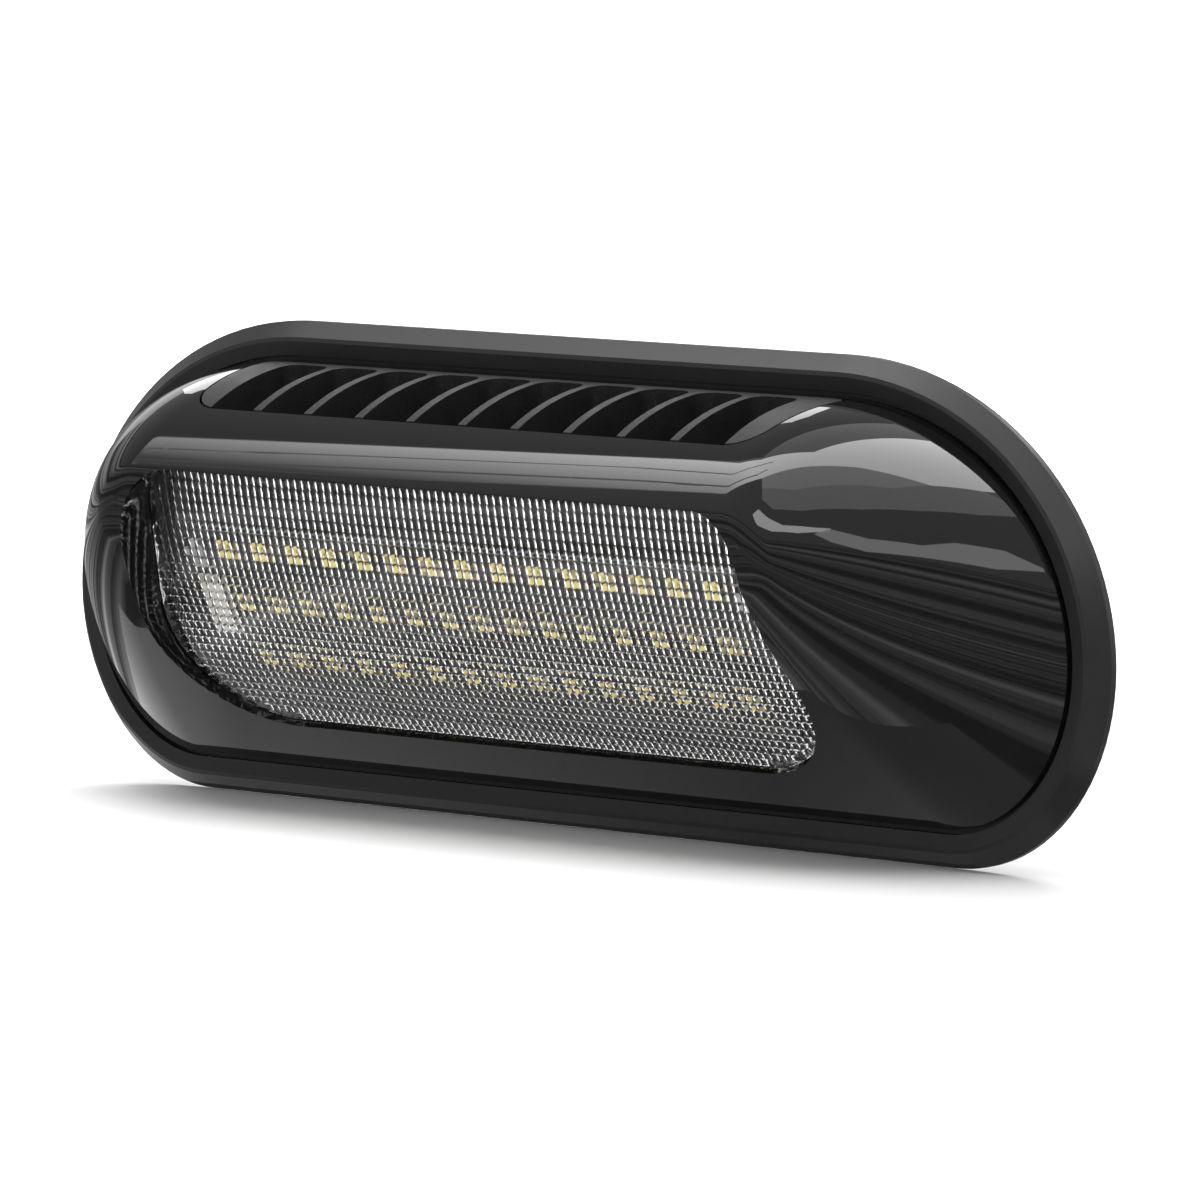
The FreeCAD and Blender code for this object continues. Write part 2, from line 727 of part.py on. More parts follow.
driver_screws = [
    screw(f"Driver_screw_{i}", "small", "driver_thickness + standoff_height", facing_front(x, z, driver_front))
    for i, (x, z) in enumerate(driver_places)]
finish(group("Driver_screws", driver_screws), "driver_screws")
inductor = box(
    "Inductor", ("inductor_side", "inductor_side", "inductor_height"),
    facing_front(size("inductor_place"), size("component_level"), driver_front))
finish(inductor, "driver_inductor")
capacitors = [
    cylinder(f"Capacitor_{i}", "capacitor_radius", "capacitor_height",
             facing_front(size("capacitor_place") + x, size("component_level"), driver_front))
    for i, x in enumerate(row(2, size("capacitor_pitch")))]
finish(group("Capacitors", capacitors), "driver_capacitors")

# Cable grommet, open for the lead, in the floor of the base
def grommet_step(name, radius, height, depth):
    place = facing_front(from_end("grommet_end"), size("grommet_level"), depth)
    return cylinder(name, radius, height, place)


lip_back = FLOOR_BACK - size("grommet_lip_thickness")
grommet_body = fused("Grommet_body", [
    grommet_step("Grommet_back_lip", "grommet_neck + grommet_lip", "grommet_lip_thickness", lip_back),
    grommet_step("Grommet_neck", "grommet_neck", "base_plate", FLOOR_BACK),
    grommet_step("Grommet_front_lip", "grommet_neck + grommet_lip", "grommet_lip_thickness",
                 size("plateau_depth"))])
grommet_bore = grommet_step(
    "Grommet_bore", "grommet_bore", "base_plate + 2 * grommet_lip_thickness", lip_back)
finish(cut("Grommet", grommet_body, grommet_bore), "cable_grommet")

doc.recompute()
for thing in doc.Objects:
    if "Invalid" in thing.State or "Error" in thing.State:
        raise RuntimeError(f"{thing.Name} failed: {thing.State}")
for thing in PARTS:
    if thing.Shape.isNull() or not thing.Shape.isValid() or not thing.Shape.Solids:
        raise RuntimeError(f"{thing.Label} has no valid solid")
os.makedirs("parts", exist_ok=True)
for thing in PARTS:
    thing.Shape.exportStep(os.path.join("parts", thing.Label + ".step"))
    print(thing.Label, len(thing.Shape.Solids), "solids", round(thing.Shape.Volume, 1), "mm3")
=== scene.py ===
"""Looks of a surface-mount vehicle flood light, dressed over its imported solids.

The frame is in metres: X along the lamp, Y into the panel, Z up, with the origin in the middle of the
mounting face. Outlines below are worked out in millimetres and scaled once, when a mesh is made.
"""
import math

import bmesh
import bpy
import numpy as np
from mathutils import Matrix, Vector
from mathutils.geometry import delaunay_2d_cdt


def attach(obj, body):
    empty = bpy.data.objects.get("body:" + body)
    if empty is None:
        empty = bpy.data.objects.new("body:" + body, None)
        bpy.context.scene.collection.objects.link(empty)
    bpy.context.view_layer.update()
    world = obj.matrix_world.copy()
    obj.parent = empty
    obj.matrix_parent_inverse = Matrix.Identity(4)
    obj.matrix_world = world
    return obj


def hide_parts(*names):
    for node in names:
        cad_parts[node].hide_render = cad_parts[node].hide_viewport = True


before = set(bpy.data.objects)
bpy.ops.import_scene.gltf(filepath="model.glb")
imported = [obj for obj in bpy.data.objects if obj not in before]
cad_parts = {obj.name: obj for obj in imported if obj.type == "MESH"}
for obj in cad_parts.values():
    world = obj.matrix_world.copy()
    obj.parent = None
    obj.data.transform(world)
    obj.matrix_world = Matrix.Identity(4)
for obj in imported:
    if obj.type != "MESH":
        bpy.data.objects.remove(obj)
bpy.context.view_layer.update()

MM = 0.001

# Trim ring and hood, as in the solids
HALF_LENGTH = 108.0
HALF_HEIGHT = 39.0
HOOD_INSET = 6.3
HOOD_WALL = 2.2
HOOD_BACK = 2.8
HOOD_SKIRT = 4.4
HOOD_DEPTH = 39.0
HOOD_ROUNDING = 37.0
HOOD_REACH = 38.45
NOSE_LEVEL = 12.5
NOSE_HALF = 65.0
NOSE_UPPER_FLAT = 62.0
NOSE_LOWER_FLAT = 62.5
BASE_UPPER_FLAT = 56.0
BASE_LOWER_FLAT = 78.3
BASE_SIDE = -6.4
TAPER = 0.62
END_TAPER = 0.68
CROWN = 0.57
HOOD_FLAT_STEPS = 70
HOOD_TURN_STEPS = 56
HOOD_RINGS = 80
HOOD_LAST_RING = 0.9985
HOOD_RING_CROWDING = 1.8
HOOD_ROOM_OVERRUN = 1.0
HOOD_SHARP_ANGLE = 28

# Window plane and the lens in it
WINDOW_TILT = 31.9
WINDOW_DEPTH = 25.25
WINDOW_LEVEL = -4.3
WINDOW_RISE = 24.7
WINDOW_UPPER_HALF = 63.1
WINDOW_LOWER_HALF = 71.5
WINDOW_UPPER_RADIUS = 9.4
WINDOW_LOWER_RADIUS = 19.5
BEZEL_WALL = 1.8
BEZEL_END = 5.9
LENS_CLEARANCE = 0.2
LENS_SIDE = 0.35
LENS_EDGE = 0.6
LENS_WALL = 1.4
LENS_RADIUS = 75.0
LENS_APEX = -8.0
LENS_CROWN = 1.7
LENS_BACK = -7.4
LENS_EDGE_STEPS = 6
LENS_GRID = (4.0, 1.0)
LENS_GRID_MARGIN = 0.8
LENS_SHARP_ANGLE = 20
OPTIC_MARGIN = 0.05
OPTIC_PITCH = (1.498, 1.498)
OPTIC_SWELL = (0.55, 0.5)
OPTIC_FLUTED = 0.75
OPTIC_STEPS = 5

# Vent in the top of the hood
VENT_FRONT = 28.2
VENT_BACK = 6.4
VENT_FRONT_HALF = 58.8
VENT_BACK_HALF = 60.8
VENT_FRONT_RADIUS = 6.0
VENT_BACK_RADIUS = 2.0
VENT_UNDERSIDE = 14.0

# LED rows in the window's frame
LED_COUNT = 15
LED_PITCH = 7.271
LED_ROW_PITCH = 9.8
LED_MIDDLE = -3.1
LED_FACE = -5.4
PHOSPHOR = (2.7, 2.1, 0.12)
PHOSPHOR_RADIUS = 0.5
PHOSPHOR_TURN_STEPS = 4

MERGE_DISTANCE = 1e-6
WINDOW_TO_WORLD = (
    Matrix.Translation((0, -WINDOW_DEPTH, WINDOW_LEVEL))
    @ Matrix.Rotation(math.radians(90 + WINDOW_TILT), 4, "X"))


def new_piece(name, verts, faces, place=None):
    """A mesh object from millimetre points, moved by a millimetre placement and scaled to metres."""
    mesh = bpy.data.meshes.new(name)
    mesh.from_pydata(verts, [], faces)
    form = bmesh.new()
    form.from_mesh(mesh)
    bmesh.ops.recalc_face_normals(form, faces=form.faces)
    form.to_mesh(mesh)
    form.free()
    mesh.transform(Matrix.Scale(MM, 4) @ (place or Matrix.Identity(4)))
    mesh.update()
    piece = bpy.data.objects.new(name, mesh)
    bpy.context.scene.collection.objects.link(piece)
    return piece


def smooth(piece, angle):
    """Smooth shading that keeps edges sharper than an angle, in degrees."""
    piece.data.shade_smooth()
    piece.data.set_sharp_from_angle(angle=math.radians(angle))


def carve(piece, tool, operation):
    """Applies a boolean with a tool, which is then removed."""
    change = piece.modifiers.new("carve", "BOOLEAN")
    change.operation = operation
    change.solver = "EXACT"
    change.object = tool
    shown = piece.evaluated_get(bpy.context.evaluated_depsgraph_get())
    result = bpy.data.meshes.new_from_object(shown)
    piece.modifiers.clear()
    piece.data = result
    bpy.data.objects.remove(tool)


def prism(name, outline, low, high, place=None):
    """A closed prism of an outline between two heights."""
    count = len(outline)
    verts = [(x, y, low) for x, y in outline] + [(x, y, high) for x, y in outline]
    sides = [(i, (i + 1) % count, count + (i + 1) % count, count + i) for i in range(count)]
    caps = [tuple(range(count - 1, -1, -1)), tuple(range(count, 2 * count))]
    return new_piece(name, verts, sides + caps, place)


def rounded(corners, steps=14):
    """A closed outline of straight runs joined by arcs; each corner is (x, y, radius)."""
    spots = [Vector((x, y)) for x, y, _ in corners]
    points = []
    for i, (_, _, radius) in enumerate(corners):
        before = (spots[i - 1] - spots[i]).normalized()
        after = (spots[(i + 1) % len(spots)] - spots[i]).normalized()
        half_angle = before.angle(after) / 2
        centre = spots[i] + (before + after).normalized() * (radius / math.sin(half_angle))
        start = spots[i] + before * (radius / math.tan(half_angle)) - centre
        turn = math.pi - 2 * half_angle
        for k in range(steps + 1):
            spin = Matrix.Rotation(turn * k / steps, 2)
            points.append(tuple(centre + spin @ start))
    return points


def window_outline(inset):
    """The window's outline in its own plane, moved in by an inset."""
    slope = (WINDOW_LOWER_HALF - WINDOW_UPPER_HALF) / (2 * WINDOW_RISE)
    side = inset * math.hypot(1, slope)
    high = WINDOW_RISE - inset
    upper = WINDOW_UPPER_HALF + inset * slope - side
    lower = WINDOW_LOWER_HALF - inset * slope - side
    upper_radius = max(WINDOW_UPPER_RADIUS - inset, 1.0)
    lower_radius = max(WINDOW_LOWER_RADIUS - inset, 1.0)
    return rounded([
        (-lower, -high, lower_radius), (lower, -high, lower_radius),
        (upper, high, upper_radius), (-upper, high, upper_radius)])


def hood_section(share, wall):
    """Points round the hood at a share of its depth, moved in by a wall."""
    taper = (1 - share) ** TAPER
    end_taper = (1 - share) ** END_TAPER
    crown = (1 - share ** 2) ** CROWN

    def between(at_nose, at_base, amount):
        return at_nose + (at_base - at_nose) * amount

    half = between(NOSE_HALF - wall, HALF_LENGTH - HOOD_INSET - wall, end_taper)
    top = between(NOSE_LEVEL, HALF_HEIGHT - HOOD_INSET - wall, crown)
    bottom = between(NOSE_LEVEL, HOOD_INSET + wall - HALF_HEIGHT, taper)
    side = between(NOSE_LEVEL, BASE_SIDE, taper)
    upper_flat = between(NOSE_UPPER_FLAT - wall, BASE_UPPER_FLAT, taper)
    lower_flat = between(NOSE_LOWER_FLAT - wall, BASE_LOWER_FLAT, taper)
    flat_steps = np.linspace(0, 1, HOOD_FLAT_STEPS, endpoint=False)
    turns = np.linspace(0, math.pi / 2, HOOD_TURN_STEPS, endpoint=False)
    right = [(upper_flat * t, top) for t in flat_steps]
    right += [
        (upper_flat + (half - upper_flat) * math.sin(a), side + (top - side) * math.cos(a)) for a in turns]
    right += [
        (lower_flat + (half - lower_flat) * math.cos(a), side + (bottom - side) * math.sin(a)) for a in turns]
    right += [(lower_flat * (1 - t), bottom) for t in flat_steps]
    left = [(-x, z) for x, z in reversed(right[1:])]
    return right + [(0.0, bottom)] + left


def hood_depth(share, wall):
    """How far a section stands in front of the panel, eased off at the nose."""
    depth = HOOD_SKIRT + share * (HOOD_DEPTH - wall - HOOD_SKIRT)
    start = HOOD_ROUNDING - wall
    room = HOOD_REACH - HOOD_ROUNDING
    if depth > start:
        depth = start + room * (1 - math.exp((start - depth) / room))
    return depth


def hood_form(name, wall):
    """The hood's closed outer form, moved in by a wall."""
    shares = [
        HOOD_LAST_RING * (1 - (1 - k / HOOD_RINGS) ** HOOD_RING_CROWDING) for k in range(HOOD_RINGS + 1)]
    loops = [(HOOD_BACK - (HOOD_ROOM_OVERRUN if wall else 0), hood_section(0, wall))]
    loops += [(hood_depth(share, wall), hood_section(share, wall)) for share in shares]
    count = len(loops[0][1])
    verts = [(x, -depth, z) for depth, loop in loops for x, z in loop]
    faces = [tuple(range(count)), tuple(range(len(verts) - 1, len(verts) - count - 1, -1))]
    for r in range(len(loops) - 1):
        for i in range(count):
            j = (i + 1) % count
            faces.append((r * count + j, r * count + i, (r + 1) * count + i, (r + 1) * count + j))
    return new_piece(name, verts, faces)


def make_hood():
    """The moulded hood: a thin shell with a vent in its top and a recessed window in its face."""
    hood = hood_form("hood_shell", 0)
    bezel = hood_form("hood_bezel", 0)
    bezel_outline = window_outline(-BEZEL_WALL)
    carve(bezel, prism("bezel_outside", bezel_outline, -BEZEL_END, HOOD_DEPTH, WINDOW_TO_WORLD), "INTERSECT")
    carve(hood, hood_form("hood_room", HOOD_WALL), "DIFFERENCE")
    carve(hood, bezel, "UNION")
    hole_end = -BEZEL_END - HOOD_WALL
    carve(hood, prism("window_hole", window_outline(0), hole_end, HOOD_DEPTH, WINDOW_TO_WORLD), "DIFFERENCE")
    vent = rounded([
        (-VENT_FRONT_HALF, -VENT_FRONT, VENT_FRONT_RADIUS),
        (VENT_FRONT_HALF, -VENT_FRONT, VENT_FRONT_RADIUS),
        (VENT_BACK_HALF, -VENT_BACK, VENT_BACK_RADIUS),
        (-VENT_BACK_HALF, -VENT_BACK, VENT_BACK_RADIUS)])
    carve(hood, prism("vent_hole", vent, VENT_UNDERSIDE, HALF_HEIGHT), "DIFFERENCE")
    smooth(hood, HOOD_SHARP_ANGLE)
    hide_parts("front_cover")
    dress(hood, "hood_black")


def lens_height(y, drop=0.0):
    """Height of the lens's crown over the window plane, at a level up the slope."""
    radius = LENS_RADIUS - drop
    return LENS_CROWN - LENS_RADIUS + math.sqrt(radius ** 2 - (y - LENS_APEX) ** 2)


def inside_half(outline, y):
    """Half length of an outline at a level, or nothing above and below it."""
    spans = []
    for (ax, ay), (bx, by) in zip(outline, outline[1:] + outline[:1]):
        if min(ay, by) <= y < max(ay, by):
            spans.append(abs(ax + (bx - ax) * (y - ay) / (by - ay)))
    return min(spans) if spans else 0.0


def filled(outline):
    """Triangles over an outline: its points come first, then a grid of points inside it."""
    spacing_x, spacing_y = LENS_GRID
    points = [Vector(point) for point in outline]
    for y in np.arange(-WINDOW_RISE, WINDOW_RISE, spacing_y):
        for x in np.arange(-WINDOW_LOWER_HALF, WINDOW_LOWER_HALF, spacing_x):
            if abs(x) < inside_half(outline, y) - LENS_GRID_MARGIN:
                points.append(Vector((x, y)))
    edges = [(k, (k + 1) % len(outline)) for k in range(len(outline))]
    points, _, faces, _, _, _ = delaunay_2d_cdt(points, edges, [], 1, MERGE_DISTANCE)
    return points, faces


def pillow_cells(field):
    """The cells of the optic grid that lie wholly inside an outline."""
    pitch_x, pitch_y = OPTIC_PITCH
    top_row = int(WINDOW_RISE / pitch_y)
    cells = set()
    for row in range(-top_row, top_row):
        half = min(inside_half(field, row * pitch_y), inside_half(field, (row + 1) * pitch_y))
        columns = int(half / pitch_x)
        cells.update((column, row) for column in range(-columns, columns))
    return cells


def pillow_border(cells):
    """The stepped edge round the cells, as short runs between grid points."""
    steps = OPTIC_STEPS
    border = []
    for column, row in sorted(cells):
        i, j = column * steps, row * steps
        runs = {
            (0, -1): [(i + k, j) for k in range(steps + 1)],
            (1, 0): [(i + steps, j + k) for k in range(steps + 1)],
            (0, 1): [(i + steps - k, j + steps) for k in range(steps + 1)],
            (-1, 0): [(i, j + steps - k) for k in range(steps + 1)]}
        for (over, up), run in runs.items():
            if (column + over, row + up) not in cells:
                border += list(zip(run, run[1:]))
    return border


def make_lens():
    """The clear lens: smooth outside, a wall round it, and rows of small pillows inside a plain rim."""
    pitch_x, pitch_y = OPTIC_PITCH
    steps = OPTIC_STEPS
    rim = window_outline(LENS_CLEARANCE)
    room = window_outline(LENS_CLEARANCE + LENS_SIDE)
    count = len(rim)
    verts = []
    faces = []

    points, triangles = filled(window_outline(LENS_CLEARANCE + LENS_EDGE))
    verts += [(p.x, p.y, lens_height(p.y)) for p in points]
    faces += triangles

    def loop(outline, height):
        start = len(verts)
        verts.extend((x, y, height(y)) for x, y in outline)
        return list(range(start, start + count))

    def inside(y):
        return max(lens_height(y, LENS_WALL), LENS_BACK + sum(OPTIC_SWELL))

    def edge_loop(turn):
        inset = LENS_CLEARANCE + LENS_EDGE * (1 - math.sin(turn))
        return loop(window_outline(inset), lambda y: lens_height(y) - LENS_EDGE * (1 - math.cos(turn)))

    turns = np.linspace(0, math.pi / 2, LENS_EDGE_STEPS + 1)[1:]
    loops = [list(range(count))] + [edge_loop(turn) for turn in turns]
    loops += [loop(rim, lambda y: LENS_BACK), loop(room, lambda y: LENS_BACK), loop(room, inside)]
    for upper, lower in zip(loops, loops[1:]):
        faces += [(upper[k], lower[k], lower[(k + 1) % count], upper[(k + 1) % count]) for k in range(count)]

    cells = pillow_cells(window_outline(LENS_CLEARANCE + LENS_SIDE + OPTIC_MARGIN))
    known = {}

    def pillow_point(i, j):
        if (i, j) not in known:
            across = 2 * (i % steps) / steps - 1
            along = 2 * (j % steps) / steps - 1
            y = j * pitch_y / steps
            rounding = 1 - OPTIC_FLUTED * (y / WINDOW_RISE + 1) / 2
            swell = OPTIC_SWELL[0] * (1 - across ** 2) + OPTIC_SWELL[1] * rounding * (1 - along ** 2)
            known[i, j] = len(verts)
            verts.append((i * pitch_x / steps, y, inside(y) - swell))
        return known[i, j]

    for column, row in sorted(cells):
        for a in range(steps):
            for b in range(steps):
                i, j = column * steps + a, row * steps + b
                square = ((i, j), (i + 1, j), (i + 1, j + 1), (i, j + 1))
                faces.append(tuple(pillow_point(*corner) for corner in square))

    flat = [Vector(point) for point in room]
    edges = [(k, (k + 1) % count) for k in range(count)]
    place = list(loops[-1])
    index = {}
    for run in pillow_border(cells):
        for i, j in run:
            if (i, j) not in index:
                index[i, j] = len(flat)
                flat.append(Vector((i * pitch_x / steps, j * pitch_y / steps)))
                place.append(known[i, j])
        edges.append((index[run[0]], index[run[1]]))
    points, _, triangles, _, _, _ = delaunay_2d_cdt(flat, edges, [], 1, MERGE_DISTANCE)
    for triangle in triangles:
        middle = sum((points[k] for k in triangle), Vector((0, 0))) / len(triangle)
        if (math.floor(middle.x / pitch_x), math.floor(middle.y / pitch_y)) not in cells:
            faces.append(tuple(place[k] for k in triangle))
    lens = new_piece("lens_optics", verts, faces, WINDOW_TO_WORLD)
    smooth(lens, LENS_SHARP_ANGLE)
    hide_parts("lens")
    dress(lens, "lens_clear")
    lens.visible_shadow = False


def make_phosphor():
    """The yellow faces of the LED packages."""
    long, wide, high = PHOSPHOR
    corners = [(-long / 2, -wide / 2), (long / 2, -wide / 2), (long / 2, wide / 2), (-long / 2, wide / 2)]
    patch = rounded([(x, y, PHOSPHOR_RADIUS) for x, y in corners], PHOSPHOR_TURN_STEPS)
    verts = []
    faces = []
    count = len(patch)
    for line in range(-1, 2):
        for place in range(LED_COUNT):
            cx = (place - (LED_COUNT - 1) / 2) * LED_PITCH
            cy = LED_MIDDLE + line * LED_ROW_PITCH
            start = len(verts)
            verts += [(cx + x, cy + y, LED_FACE) for x, y in patch]
            verts += [(cx + x, cy + y, LED_FACE + high) for x, y in patch]
            faces.append(tuple(range(start + count - 1, start - 1, -1)))
            faces.append(tuple(range(start + count, start + 2 * count)))
            faces += [
                (start + k, start + (k + 1) % count, start + count + (k + 1) % count, start + count + k)
                for k in range(count)]
    phosphor = new_piece("led_phosphor_faces", verts, faces, WINDOW_TO_WORLD)
    dress(phosphor, "led_phosphor")


# Shader groups

def socket(group, name, direction, kind, value=None):
    """Adds an input or output to a shader group."""
    made = group.interface.new_socket(name, in_out=direction, socket_type=kind)
    if value is not None:
        made.default_value = value


def link(tree, start, end):
    """Joins an output to an input."""
    tree.links.new(start, end)


def grain_group():
    """Fine and coarse noise in the object's own metres: a height for bumps and a slow mottle."""
    group = bpy.data.node_groups.new("surface_grain", "ShaderNodeTree")
    socket(group, "Grain Scale", "INPUT", "NodeSocketFloat", 2000.0)
    socket(group, "Mottle Scale", "INPUT", "NodeSocketFloat", 60.0)
    socket(group, "Height", "OUTPUT", "NodeSocketFloat")
    socket(group, "Mottle", "OUTPUT", "NodeSocketFloat")
    start = group.nodes.new("NodeGroupInput")
    end = group.nodes.new("NodeGroupOutput")
    coords = group.nodes.new("ShaderNodeTexCoord")
    fine = group.nodes.new("ShaderNodeTexNoise")
    fine.inputs["Detail"].default_value = 3.0
    slow = group.nodes.new("ShaderNodeTexNoise")
    slow.inputs["Detail"].default_value = 4.0
    for noise, scale, output in ((fine, "Grain Scale", "Height"), (slow, "Mottle Scale", "Mottle")):
        link(group, coords.outputs["Object"], noise.inputs["Vector"])
        link(group, start.outputs[scale], noise.inputs["Scale"])
        link(group, noise.outputs["Fac"], end.inputs[output])
    return group


def speck_group():
    """Sparse small specks: a mask that is one in a speck and nought between."""
    group = bpy.data.node_groups.new("specks", "ShaderNodeTree")
    socket(group, "Scale", "INPUT", "NodeSocketFloat", 500.0)
    socket(group, "Size", "INPUT", "NodeSocketFloat", 0.12)
    socket(group, "Mask", "OUTPUT", "NodeSocketFloat")
    start = group.nodes.new("NodeGroupInput")
    end = group.nodes.new("NodeGroupOutput")
    coords = group.nodes.new("ShaderNodeTexCoord")
    cells = group.nodes.new("ShaderNodeTexVoronoi")
    below = group.nodes.new("ShaderNodeMath")
    below.operation = "LESS_THAN"
    link(group, coords.outputs["Object"], cells.inputs["Vector"])
    link(group, start.outputs["Scale"], cells.inputs["Scale"])
    link(group, cells.outputs["Distance"], below.inputs[0])
    link(group, start.outputs["Size"], below.inputs[1])
    link(group, below.outputs["Value"], end.inputs["Mask"])
    return group


GRAIN = grain_group()
SPECKS = speck_group()
FINISHES = {}


def finish(name, light, dark, roughness, grain=(2000.0, 0.00002), mottle=60.0, specks=None, **plain):
    """A finish with mottled colour, uneven gloss, a fine grain and, where given, specks of a third colour.

    roughness is its lowest and highest value; grain is a scale and a bump height in metres, or nothing;
    specks is a colour, a scale and a size; plain sets the shader's own sockets.
    """
    material = bpy.data.materials.new(name)
    material.use_nodes = True
    tree = material.node_tree
    shader = tree.nodes["Principled BSDF"]
    grained = tree.nodes.new("ShaderNodeGroup")
    grained.node_tree = GRAIN
    grained.inputs["Mottle Scale"].default_value = mottle
    tone = tree.nodes.new("ShaderNodeMix")
    tone.data_type = "RGBA"
    tone.inputs["A"].default_value = (*dark, 1)
    tone.inputs["B"].default_value = (*light, 1)
    link(tree, grained.outputs["Mottle"], tone.inputs["Factor"])
    colour = tone.outputs["Result"]
    if specks:
        speckled = tree.nodes.new("ShaderNodeGroup")
        speckled.node_tree = SPECKS
        speckled.inputs["Scale"].default_value = specks[1]
        speckled.inputs["Size"].default_value = specks[2]
        dots = tree.nodes.new("ShaderNodeMix")
        dots.data_type = "RGBA"
        dots.inputs["B"].default_value = (*specks[0], 1)
        link(tree, speckled.outputs["Mask"], dots.inputs["Factor"])
        link(tree, colour, dots.inputs["A"])
        colour = dots.outputs["Result"]
    link(tree, colour, shader.inputs["Base Color"])
    gloss = tree.nodes.new("ShaderNodeMapRange")
    gloss.inputs["To Min"].default_value = roughness[0]
    gloss.inputs["To Max"].default_value = roughness[1]
    link(tree, grained.outputs["Mottle"], gloss.inputs["Value"])
    link(tree, gloss.outputs["Result"], shader.inputs["Roughness"])
    if grain:
        grained.inputs["Grain Scale"].default_value = grain[0]
        bump = tree.nodes.new("ShaderNodeBump")
        bump.inputs["Strength"].default_value = 1.0
        bump.inputs["Distance"].default_value = grain[1]
        link(tree, grained.outputs["Height"], bump.inputs["Height"])
        link(tree, bump.outputs["Normal"], shader.inputs["Normal"])
    for name_of_socket, value in plain.items():
        shader.inputs[name_of_socket.replace("_", " ")].default_value = value
    FINISHES[name] = material


def grey(level):
    """A neutral colour."""
    return (level, level, level)


def make_finishes():
    """Every finish of the lamp, outside first."""
    finish("ring_black", grey(0.016), grey(0.011), (0.32, 0.4), (3500.0, 0.00001), 90.0,
           Specular_IOR_Level=0.4)
    finish("hood_black", grey(0.006), grey(0.005), (0.02, 0.035), (500.0, 0.0000004), 120.0)
    finish("sink_black", grey(0.011), grey(0.007), (0.45, 0.58), (4200.0, 0.00006), 300.0,
           (grey(0.05), 2600.0, 0.16), Specular_IOR_Level=0.25)
    finish("base_black", grey(0.02), grey(0.014), (0.5, 0.62), (1600.0, 0.00003), 80.0)
    finish("foam_black", grey(0.022), grey(0.012), (0.85, 0.95), (1500.0, 0.0001), 200.0,
           (grey(0.004), 1800.0, 0.25))
    finish("seal_black", grey(0.018), grey(0.012), (0.6, 0.75), (1200.0, 0.00002), 150.0)
    finish("insert_brass", (0.72, 0.5, 0.2), (0.55, 0.36, 0.12), (0.22, 0.38), (900.0, 0.00001), 300.0,
           Metallic=1.0)
    finish("screw_steel", (0.62, 0.62, 0.6), (0.48, 0.48, 0.48), (0.22, 0.36), (1500.0, 0.00001), 300.0,
           Metallic=1.0)
    finish("lens_clear", grey(1.0), grey(0.985), (0.0, 0.02), None, 40.0,
           Transmission_Weight=1.0, IOR=1.49)
    finish("board_black", grey(0.012), grey(0.008), (0.4, 0.55), (900.0, 0.00001), 60.0,
           ((0.3, 0.28, 0.24), 160.0, 0.05))
    finish("led_phosphor", (1.0, 0.84, 0.3), (0.95, 0.74, 0.2), (0.4, 0.6), (5000.0, 0.00003), 500.0)
    finish("package_cream", (0.46, 0.38, 0.2), (0.38, 0.3, 0.15), (0.35, 0.5), (2500.0, 0.00001), 300.0)
    finish("resistor_black", grey(0.03), grey(0.02), (0.35, 0.5), (2500.0, 0.00001), 500.0)
    finish("connector_white", (0.8, 0.78, 0.7), (0.72, 0.7, 0.62), (0.4, 0.55), (1200.0, 0.00001), 150.0)
    finish("pad_grey", (0.4, 0.42, 0.45), (0.32, 0.34, 0.37), (0.7, 0.85), (1500.0, 0.00003), 120.0)
    finish("driver_green", (0.02, 0.16, 0.06), (0.012, 0.1, 0.04), (0.3, 0.45), (900.0, 0.00001), 90.0,
           ((0.6, 0.5, 0.3), 260.0, 0.12))
    finish("ferrite_grey", grey(0.09), grey(0.06), (0.6, 0.75), (1800.0, 0.00004), 200.0)
    finish("can_aluminium", grey(0.78), grey(0.66), (0.25, 0.4), (1500.0, 0.00001), 200.0, Metallic=1.0)


def dress(piece, slot):
    """Rides a new piece on the lamp and gives it its finish."""
    piece.data.materials.clear()
    piece.data.materials.append(FINISHES[slot])
    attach(piece, "root")


NODE_FINISHES = {
    "mounting_gasket": "foam_black", "base_housing": "base_black", "mounting_inserts": "insert_brass",
    "trim_ring": "ring_black", "cover_seal": "seal_black", "heat_sink": "sink_black",
    "cover_screws": "screw_steel", "heat_sink_screws": "screw_steel", "lens_gasket": "seal_black",
    "thermal_pad": "pad_grey", "led_board": "board_black", "led_packages": "package_cream",
    "board_resistors": "resistor_black", "board_screws": "screw_steel", "board_connector": "connector_white",
    "driver_board": "driver_green", "driver_standoffs": "insert_brass", "driver_screws": "screw_steel",
    "driver_inductor": "ferrite_grey", "driver_capacitors": "can_aluminium", "cable_grommet": "seal_black",
}


def finish_solids():
    """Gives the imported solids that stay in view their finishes."""
    for node, slot in NODE_FINISHES.items():
        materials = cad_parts[node].data.materials
        materials.clear()
        materials.append(FINISHES[slot])


# Studio

CAMERA_AZIMUTH = 0.7156
CAMERA_ELEVATION = 0.0988
CAMERA_DISTANCE = 1.47744
PHOTO_SIDE = 1200
FOCAL_PIXELS = 9308.78
PRINCIPAL_POINT = (578.74, 581.87)
FLOOR_LEVEL = -0.0392
SENSOR_WIDTH = 36.0
CLIP_START = 0.05
WORLD_LIGHT = 0.45
FLOOR_HALF = 6.0
FLOOR_WHITE = 0.92
FLOOR_ROUGHNESS = 0.9
FLOOR_FADE = (0.12, 0.7)

